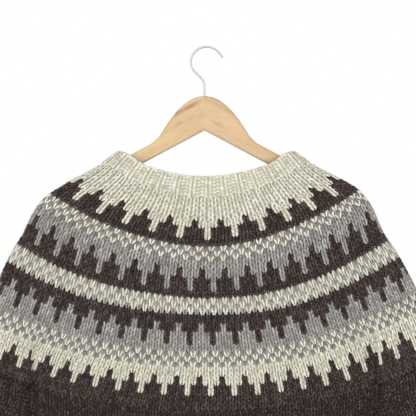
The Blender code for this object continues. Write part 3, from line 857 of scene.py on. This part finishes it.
def knit_plain(yarn, cloth, shares, rows):
    for _, top, bottom in rows:
        lay_stitches(yarn, cloth, shares, top, bottom, 1 / len(shares), LONG_BROWN, as_it_is)


# %% [markdown]
# ## The yoke's pattern
#
# The pattern is charted as a knitter writes it. A band has one number of stitches all round, because the
# increases are made in the plain rows between bands, and its rows repeat up to four letters: c cream, g grey,
# l pale grey and d dark brown. Each set of rows has its letters, its number of rows and where it ends, in mm
# below the neckline. The shift says how many mm right of the middle of the front the first letter stands.

# %% The chart
Band = namedtuple("Band", "stitches shift rows")
CHART = (
    Band(72, 2.0, (("c", 5, 61.5),)),
    Band(96, 4.1, (("ccdc", 2, 71.9), ("cddd", 3, 88.5), ("d", 2, 98.7))),
    Band(118, 8.7, (("cg", 1, 105.3), ("gc", 1, 111.8), ("cg", 1, 118.4), ("g", 2, 130.3))),
    Band(136, 12.5, (("ggdg", 2, 143.3), ("gddd", 3, 161.0), ("d", 2, 171.6))),
    Band(148, 13.2, (("cl", 1, 179.0), ("lc", 1, 186.3), ("cl", 1, 193.7), ("d", 1, 200.5))),
    Band(160, 11.3, (("d", 1, 207.3), ("ddgd", 2, 219.0), ("dggg", 3, 236.9), ("g", 2, 246.8))),
    Band(172, 0.0, (("cg", 1, 253.8), ("gc", 1, 260.9), ("cg", 1, 267.9), ("c", 2, 281.4))),
    Band(184, 9.0, (("ccdc", 2, 294.4), ("cddd", 3, 309.8), ("d", 3, YOKE_DEEP))),
)


def rows_of(band, start):
    """Each row of a band: its letters, its top and its bottom."""
    rows = []
    for letters, count, end in band.rows:
        rows += rows_between(letters, start, end, count)
        start = end
    return rows


def stitch_shares(cloth, stitches, shift, place):
    """The share of the way round of each stitch's middle; the first is shift mm right of the middle."""
    return cloth.middle_at(place) + shift / cloth.length_at(place) + np.arange(stitches) / stitches


# %% Knit the yoke
yoke_yarns = {
    "c": Yarn("yoke_cream_stitches", "c", FULL_BEAN),
    "g": Yarn("yoke_grey_stitches", "g", FULL_BEAN),
    "l": Yarn("yoke_pale_grey_stitches", "l", FULL_BEAN),
    "d": Yarn("yoke_brown_stitches", "d", PLAIN_BEAN, 0.72),
}
LONG = {"c": LONG_CREAM, "g": LONG_GREY, "d": LONG_BROWN}
SHORT = {"c": SHORT_CREAM, "g": SHORT_GREY}
WIDE = {"c": WIDE_CREAM, "l": WIDE_GREY}
SEEDED = {"cg": SHORT, "gc": SHORT, "cl": WIDE, "lc": WIDE}
YOKE_FUZZ = 0.6  # shares of the legs that have a stray fibre
NECK_FUZZ = 0.8
PLAIN_FUZZ = 0.3
start = NECKBAND_DEEP
for band in CHART:
    rows = rows_of(band, start)
    shares = stitch_shares(yoke, band.stitches, band.shift, (start + rows[-1][2]) / 2)
    for letters, top, bottom in rows:
        charted = np.array(list(letters))[np.arange(band.stitches) % len(letters)]
        for letter in sorted(set(letters)):
            mine = shares[charted == letter]
            vees = SEEDED.get(letters, LONG)
            lay_stitches(yoke_yarns[letter], yoke, mine, top, bottom, 1 / band.stitches, vees[letter])
    start = rows[-1][2]
yoke_pieces = [yarn.finish() for yarn in yoke_yarns.values()]
yoke_pieces += [lay_fuzz(yarn, YOKE_FUZZ) for yarn in yoke_yarns.values()]

# %% [markdown]
# ## Ribbing
#
# The neckband, the cuffs and the hem band are rib: columns of plain stitches stand out, and between them the
# purl stitches sink back and show as short wavy bars. A knit column is a V whose legs hang almost straight.

# %% Laying rib
# As shares of a knit column's width: how far its feet and heads lie from its middle, and half a leg's width.
RIB_FOOT = 0.23
RIB_HEAD = 0.28
RIB_FAT = 0.25
RIB_BOW = 0.05
RIB_FORWARD = 0.3  # mm by which the feet stand in front of the heads
PURL_NEAR = 0.46  # of a knit column's width: where a purl bar starts
PURL_FAR = 0.51  # of a rib's width: where it ends
# As shares of a row's height: how far feet reach below it and heads above it; how much lower than the row's
# middle the bars on the right lie, how far a bar starts below its own middle and ends above it, half its
# width, its bow and its unevenness.
RIB_BELOW = 0.35
RIB_ABOVE = 0.15
PURL_LOWER = 0.12
PURL_BELOW = 0.20
PURL_ABOVE = 0.16
PURL_FAT = 0.5
PURL_BOW = 0.12
PURL_UNEVEN = 0.07
PURL_IN = 1.9  # mm: how deep a bar starts and how deep it ends
PURL_END_IN = 1.3
EDGE_REACH = 0.62  # of an edge stitch's width, to each side
EDGE_SLANT = 0.7  # mm, these four: its slant inwards, how high it starts and how low it ends, half its width
EDGE_RISE = 0.4
EDGE_FALL = 0.6
EDGE_FAT = 1.9
EDGE_IN = 1.4  # mm from a tube's end to the chain of its edge


def lay_rib(yarn, cloth, ribs, first, start, end, rows, out, knit_wide, inside=0.0, face=1, level=as_it_is):
    """Lays ribs from start to end; first is the first rib's share, knit_wide a column's part of a rib."""
    shares = first + np.arange(ribs) / ribs
    pitch = 1 / ribs
    column = knit_wide * pitch
    column_mm = column * cloth.length_at((start + end) / 2)

    def place(aside, down, deep):
        """Points that lie so far beside the ribs' middles, so far down and so deep in the cloth."""
        return cloth.at(*level(shares + aside, down + np.zeros(ribs)), inside + face * deep)

    for _, top, bottom in rows_between("", start, end, rows):
        tall = bottom - top
        for side in (-1, 1):
            deep = YARN_IN - out
            foot, out_a = place(side * RIB_FOOT * column, bottom + RIB_BELOW * tall, deep - RIB_FORWARD)
            head, out_b = place(side * RIB_HEAD * column, top - RIB_ABOVE * tall, deep)
            bow = -side * face * RIB_BOW * column_mm
            yarn.lay(foot, head, face * (out_a + out_b), RIB_FAT * column_mm, YARN_DEEP, bow)
        uneven = random.normal(0, PURL_UNEVEN * tall, (4, ribs))
        for side in (-1, 1):
            middle = (top + bottom) / 2 + PURL_LOWER * side * tall
            low = middle + PURL_BELOW * tall + uneven[side + 1]
            high = middle - PURL_ABOVE * tall + uneven[side + 2]
            near, out_a = place(side * PURL_NEAR * column, low, PURL_IN)
            far, out_b = place(side * PURL_FAR * pitch, high, PURL_END_IN)
            bow = side * face * PURL_BOW * tall
            yarn.lay(near, far, face * (out_a + out_b), PURL_FAT * tall, YARN_DEEP, bow)


def lay_edge(yarn, cloth, stitches, place, depth, level=as_it_is):
    """Lays the chain of an edge: short slanting beans that follow one another round the rim."""
    shares = np.arange(stitches) / stitches
    reach = EDGE_REACH / stitches
    a, out_a = cloth.at(*level(shares - reach, place - EDGE_RISE + np.zeros(stitches)), depth - EDGE_SLANT)
    b, out_b = cloth.at(*level(shares + reach, place + EDGE_FALL + np.zeros(stitches)), depth + EDGE_SLANT)
    yarn.lay(a, b, out_a + out_b, EDGE_FAT, EDGE_FAT)


# %% Knit the neckband
NECK_RIBS = 29
NECK_ROWS = 6
NECK_START = 1.5  # mm below the neckline
NECK_SHIFT = 3.4  # mm from the middle of the front to the first rib
NECK_KNIT = 0.46  # share of a rib that its knit column takes
neck_yarn = Yarn("neckband_stitches", "c", FULL_BEAN)
first_rib = yoke.middle_at(NECKBAND_DEEP / 2) + NECK_SHIFT / yoke.length_at(NECKBAND_DEEP / 2)
lay_rib(
    neck_yarn, yoke, NECK_RIBS, first_rib, NECK_START, NECKBAND_DEEP + 1.2, NECK_ROWS,
    out=RIB_RISE, knit_wide=NECK_KNIT, level=hang,
)
lay_rib(
    neck_yarn, yoke, NECK_RIBS, first_rib + 0.5 / NECK_RIBS, NECK_START, NECKBAND_DEEP, NECK_ROWS,
    out=0.3, knit_wide=NECK_KNIT, inside=NECK_WALL, face=-1, level=hang,
)
for depth in (1.0, 4.0):
    lay_edge(neck_yarn, yoke, 2 * NECK_RIBS, EDGE_IN, depth, hang)
neck_pieces = [neck_yarn.finish(), lay_fuzz(neck_yarn, NECK_FUZZ)]

# %% Knit the body and its hem band
BODY_STITCHES = 118
BODY_STITCH_ROWS = 41
HEM_RIBS = 52
BAND_ROWS = 10  # of the hem band and of the cuffs
RIM = 1.0  # mm of a tube's end that the rib leaves to the chain of the edge
RIB_START = 0.375  # of a rib's width
body_yarn = Yarn("body_stitches", "d", SPARE_BEAN)
body_rows = rows_between("d", 0.0, BODY_LONG, BODY_STITCH_ROWS)
knit_plain(body_yarn, body, stitch_shares(body, BODY_STITCHES, CHART[-1].shift, 0.0), body_rows)
body_pieces = [body_yarn.finish(), lay_fuzz(body_yarn, PLAIN_FUZZ)]
hem_yarn = Yarn("hem_band_stitches", "d", PLAIN_BEAN)
BODY_END = BODY_LONG + HEM_LONG
lay_rib(
    hem_yarn, body, HEM_RIBS, RIB_START / HEM_RIBS, BODY_LONG, BODY_END - RIM, BAND_ROWS,
    out=0.2, knit_wide=0.55, inside=0.6,
)
lay_edge(hem_yarn, body, 2 * HEM_RIBS, BODY_END - EDGE_IN, 3.0)
hem_pieces = [hem_yarn.finish(), lay_fuzz(hem_yarn, PLAIN_FUZZ)]

# %% Knit the sleeves and cuffs
SLEEVE_STITCHES = 36
SLEEVE_STITCH_ROWS = 62
CUFF_RIBS = 14
SIDES = {"right": (right_sleeve, right_cuff), "left": (left_sleeve, left_cuff)}
for side, (sleeve, cuff) in SIDES.items():
    sleeve_yarn = Yarn(f"{side}_sleeve_stitches", "d", SPARE_BEAN)
    rows = rows_between("d", 0.0, sleeve.places[-1], SLEEVE_STITCH_ROWS)
    knit_plain(sleeve_yarn, sleeve, np.arange(SLEEVE_STITCHES) / SLEEVE_STITCHES, rows)
    cuff_yarn = Yarn(f"{side}_cuff_stitches", "d", PLAIN_BEAN)
    cuff_end = cuff.places[-1]
    lay_rib(
        cuff_yarn, cuff, CUFF_RIBS, RIB_START / CUFF_RIBS, 0.0, cuff_end - RIM, BAND_ROWS,
        out=0.8, knit_wide=0.52,
    )
    lay_edge(cuff_yarn, cuff, 2 * CUFF_RIBS, cuff_end - EDGE_IN, 2.6)
    sleeve_yarn.finish()
    lay_fuzz(sleeve_yarn, PLAIN_FUZZ)
    cuff_yarn.finish()
    lay_fuzz(cuff_yarn, PLAIN_FUZZ)

# %% [markdown]
# ## The cloth behind the stitches
#
# Behind each V run the arcs of the same yarn, so a gap between legs shows the stitch's own colour in shade. A
# thin shell does that. Its outside wears painted shade, a darker copy of each yarn, except on the neckband.
# It has one face for each stitch, or a few for each rib, so that its colours follow the chart, and Solidify
# gives it the thickness of the knitting's inner half. Inside, the shell shows the wrong side of the cloth.

# %% Rings of a shell
BACKING_UP = 0.36  # of a row's height: behind the foot of a V lies the row below, not the V's own
OVERLAP = 0.8  # mm by which a strip reaches behind the one above


def place_ring(ring, cloth, shares, place, level, depth):
    points, _ = cloth.at(*level(shares, np.full(len(shares), float(place))), depth)
    for vertex, point in zip(ring, points):
        vertex.co = point * MM


def next_ring(maker, ring, edges):
    """Draws a ring out into the next one: its vertices in the same order, its edges and the faces between."""
    grown = bmesh.ops.extrude_edge_only(maker, edges=edges)["geom"]
    order = {vertex: k for k, vertex in enumerate(ring)}
    fresh = [None] * len(ring)
    for vertex in grown:
        if isinstance(vertex, bmesh.types.BMVert):
            above = next(e.other_vert(vertex) for e in vertex.link_edges if e.other_vert(vertex) in order)
            fresh[order[above]] = vertex
    mine = set(fresh)
    fresh_edges = [g for g in grown if isinstance(g, bmesh.types.BMEdge) and mine.issuperset(g.verts)]
    return fresh, fresh_edges, [g for g in grown if isinstance(g, bmesh.types.BMFace)]


def colour_row(faces, above, below, row, slots, stitch_map):
    """Gives each face the material of its stitch, and UVs that count stitches round and rows down."""
    count = len(above)
    placed = {vertex: (k, row) for k, vertex in enumerate(above)}
    placed |= {vertex: (k, row + 1) for k, vertex in enumerate(below)}
    for face in faces:
        columns = sorted(placed[vertex][0] for vertex in face.verts if placed[vertex][1] == row)
        column = columns[0] if columns[1] - columns[0] == 1 else count - 1
        face.material_index = slots[column % len(slots)]
        for loop in face.loops:
            at, row_at = placed[loop.vert]
            loop[stitch_map].uv = (count if at == 0 and column == count - 1 else at, -row_at)


# %% Shells
# Unless told otherwise, the shell's outside wears painted shade: the darker copies of the yarns.
def make_shell(name, cloth, strips, replaced, level, depth=2.3, thick=1.7, behind=PAINTED_SHADE):
    """A tube through strips of rows; a strip is (stitches, first share, [(letters, top, bottom), ...])."""
    maker = bmesh.new()
    stitch_map = maker.loops.layers.uv.new("stitches")
    letters_used = sorted({letter for _, _, rows in strips for row in rows for letter in row[0]})
    for strip in strips:
        count, first, rows = strip
        ring = bmesh.ops.create_circle(maker, cap_ends=False, segments=count, radius=1.0)["verts"]
        edges = list({edge for vertex in ring for edge in vertex.link_edges})
        shares = first + (np.arange(count) - 0.5) / count
        _, top, bottom = rows[0]
        begin = top if strip is strips[0] else top - BACKING_UP * (bottom - top) - OVERLAP
        place_ring(ring, cloth, shares, begin, level, depth)
        strip_faces = []
        for row, (letters, top, bottom) in enumerate(rows):
            is_last = strip is strips[-1] and row == len(rows) - 1
            end = bottom if is_last else bottom - BACKING_UP * (bottom - top)
            fresh, edges, faces = next_ring(maker, ring, edges)
            place_ring(fresh, cloth, shares, end, level, depth)
            slots = [letters_used.index(letter) for letter in letters]
            colour_row(faces, ring, fresh, row, slots, stitch_map)
            strip_faces += faces
            ring = fresh
        bmesh.ops.recalc_face_normals(maker, faces=strip_faces)
        if sum(face.normal.y * face.calc_center_median().y for face in strip_faces) < 0:
            bmesh.ops.reverse_faces(maker, faces=strip_faces)
    mesh = bpy.data.meshes.new(name)
    maker.to_mesh(mesh)
    maker.free()
    mesh.shade_smooth()
    for materials in (behind, YARNS):
        for letter in letters_used:
            mesh.materials.append(materials[letter])
    shell = add_piece(name, mesh)
    wall = shell.modifiers.new("thickness", "SOLIDIFY")
    wall.thickness = thick * MM
    wall.offset = -1.0
    wall.material_offset = len(letters_used)
    wall.material_offset_rim = len(letters_used)
    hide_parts(replaced)
    print(name, "has", len(mesh.polygons), "faces")
    return shell


# %% Shells of every tube
START_GAP = 0.3  # mm between a shell's rim and the tube above
END_GAP = 0.5
NECK_SHELL_END = 28.9  # mm below the neckline, just behind the yoke's first row
NECK_SHELL_IN = 1.6  # mm inside the form, on average, and how much less that is behind a knit column
NECK_SHELL_WAVE = 0.5
strips = []
start = NECKBAND_DEEP + START_GAP / 2
for band in CHART:
    rows = rows_of(band, start)
    first = stitch_shares(yoke, band.stitches, band.shift, (start + rows[-1][2]) / 2)[0]
    strips.append((band.stitches, first, rows))
    start = rows[-1][2]
yoke_shell = make_shell("yoke_cloth", yoke, strips, "yoke", hang)
rows = rows_between("c", NECK_START, NECK_SHELL_END, NECK_ROWS)
columns = 4 * NECK_RIBS
depths = NECK_SHELL_IN - NECK_SHELL_WAVE * np.cos(math.pi / 2 * np.arange(columns))
strip = (columns, first_rib + 0.5 / columns, rows)
neck_shell = make_shell(
    "neckband_cloth", yoke, [strip], "neckband", hang, depth=depths, thick=1.3, behind=YARNS
)
strip = (BODY_STITCHES, 0.25, body_rows)
body_shell = make_shell("body_cloth", body, [strip], "body", as_it_is)
strip = (2 * HEM_RIBS, 0.25, rows_between("d", BODY_LONG + START_GAP, BODY_END - END_GAP, BAND_ROWS))
hem_shell = make_shell("hem_band_cloth", body, [strip], "hem_band", as_it_is, depth=3.2, thick=1.4)
for side, (sleeve, cuff) in SIDES.items():
    strip = (SLEEVE_STITCHES, 0.0, rows_between("d", START_GAP, sleeve.places[-1], SLEEVE_STITCH_ROWS))
    make_shell(f"{side}_sleeve_cloth", sleeve, [strip], f"{side}_sleeve", as_it_is)
    strip = (2 * CUFF_RIBS, 0.0, rows_between("d", START_GAP, cuff.places[-1] - END_GAP, BAND_ROWS))
    make_shell(
        f"{side}_cuff_cloth", cuff, [strip], f"{side}_cuff", as_it_is, depth=2.8, thick=1.2
    )

# %% [markdown]


# %% [markdown]
# ## The hanger
#
# The board is beech, sanded and thinly lacquered, with its grain along each arm. The two arms meet in a
# mitre, where the grain changes direction. The solid model's shape is right, so only its finish is made here.
# A streak's place and half sizes are in mm.

# %% Beech
ARM_SLOPE = 0.533
Streak = namedtuple("Streak", "x z half_long half_wide strength")
LEFT_STREAKS = (
    Streak(-20.0, -83.0, 26.0, 5.0, 0.8),
    Streak(-40.0, -93.0, 15.0, 5.5, 0.7),
    Streak(-36.0, -108.0, 15.0, 3.0, 0.35),
)
RIGHT_STREAKS = (Streak(27.0, -86.0, 24.0, 6.0, 0.2), Streak(20.0, -109.0, 16.0, 3.5, 0.3))


def stretched(tree, place, scale):
    return add_node(tree, "ShaderNodeMapping", {"Vector": place, "Scale": scale}).outputs[0]


def streak_share(tree, place, lean, streak):
    """How strong a streak is at a place that is turned by the arm's lean."""
    along = streak.x * math.cos(lean) + streak.z * math.sin(lean)
    off = streak.z * math.cos(lean) - streak.x * math.sin(lean)
    middle = {0: place, 1: (along * MM, 0.0, off * MM)}
    from_it = add_node(tree, "ShaderNodeVectorMath", middle, operation="SUBTRACT")
    reach = {0: from_it.outputs[0], 1: (1 / (streak.half_long * MM), 0.0, 1 / (streak.half_wide * MM))}
    shaped = add_node(tree, "ShaderNodeVectorMath", reach, operation="MULTIPLY")
    away = add_node(tree, "ShaderNodeVectorMath", {0: shaped.outputs[0]}, operation="LENGTH")
    faded = {"Value": away.outputs["Value"], 1: 0.0, 2: 1.0, 3: streak.strength, 4: 0.0}
    return add_node(tree, "ShaderNodeMapRange", faded, interpolation_type="SMOOTHSTEP").outputs[0]


def make_beech(name, slope, pale, streaks=()):
    """Lacquered beech: pale, with faint darker lines along the arm, some darker streaks and a soft gloss."""
    beech, tree, shader = new_material(name, Roughness=0.42, Coat_Weight=0.25, Coat_Roughness=0.25)
    lean = math.atan(slope)
    where = add_node(tree, "ShaderNodeTexCoord").outputs["Object"]
    turned = add_node(tree, "ShaderNodeMapping", {"Vector": where, "Rotation": (0.0, lean, 0.0)}).outputs[0]
    grain = add_noise(tree, stretched(tree, turned, (8.0, 60.0, 60.0)), 1.0, 5.0, 0.6)
    pores = add_noise(tree, stretched(tree, turned, (70.0, 500.0, 600.0)), 1.0, 2.0)
    plain = add_ramp(tree, grain, ((0.3, "#c5a276"), (0.7, pale)))
    flecks = add_ramp(tree, pores, ((0.36, "#e2c6a2"), (0.5, "#ffffff")))
    colour = mix_colours(tree, 0.3, plain, flecks, "MULTIPLY")
    for streak in streaks:
        colour = mix_colours(tree, streak_share(tree, turned, lean, streak), colour, linear("#90604a"))
    relief = add_node(tree, "ShaderNodeBump", {"Height": pores, "Strength": 0.12, "Distance": 0.2 * MM})
    tree.links.new(colour, shader.inputs["Base Color"])
    tree.links.new(relief.outputs["Normal"], shader.inputs["Normal"])
    return beech


def refinish(node, material):
    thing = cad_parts[node]
    thing.data.materials.clear()
    thing.data.materials.append(material)


refinish("hanger_left_arm", make_beech("lacquered_beech_left", ARM_SLOPE, "#d6bd8e", LEFT_STREAKS))
refinish("hanger_right_arm", make_beech("lacquered_beech_right", -ARM_SLOPE, "#d5ba94", RIGHT_STREAKS))

# %% [markdown]
# The arms are glued at the mitre, so no light comes through the joint: a thin strip fills it. The hook is
# bright plated wire, with the faint haze that plating has.

# %% Glue line of the mitre
GLUE_SIZE = (0.5 * MM, 11.6 * MM, 47.0 * MM)
GLUE_HEIGHT = -93.5 * MM
glue_maker = bmesh.new()
bmesh.ops.create_cube(glue_maker, size=1.0)
bmesh.ops.scale(glue_maker, verts=glue_maker.verts, vec=GLUE_SIZE)
bmesh.ops.translate(glue_maker, verts=glue_maker.verts, vec=(0.0, 0.0, GLUE_HEIGHT))
rounding = {"offset": 0.1 * MM, "segments": 1, "profile": 0.5, "affect": "EDGES", "material": -1}
bmesh.ops.bevel(glue_maker, geom=glue_maker.edges[:], **rounding)
glue_mesh = bpy.data.meshes.new("mitre_glue")
glue_maker.to_mesh(glue_mesh)
glue_maker.free()
glue_mesh.materials.append(make_beech("beech_glue_line", 0.0, "#d9c4a2"))
add_piece("mitre_glue", glue_mesh)

# %% Wire of the hook
wire, tree, shader = new_material("zinc_plated_steel_wire", Base_Color=linear("#c9cdd2"), Metallic=1.0)
where = add_node(tree, "ShaderNodeTexCoord").outputs["Object"]
haze = add_noise(tree, where, 900.0, 2.0)
dull = add_node(tree, "ShaderNodeMapRange", {"Value": haze, 3: 0.16, 4: 0.32})
tree.links.new(dull.outputs[0], shader.inputs["Roughness"])
refinish("hanger_hook", wire)
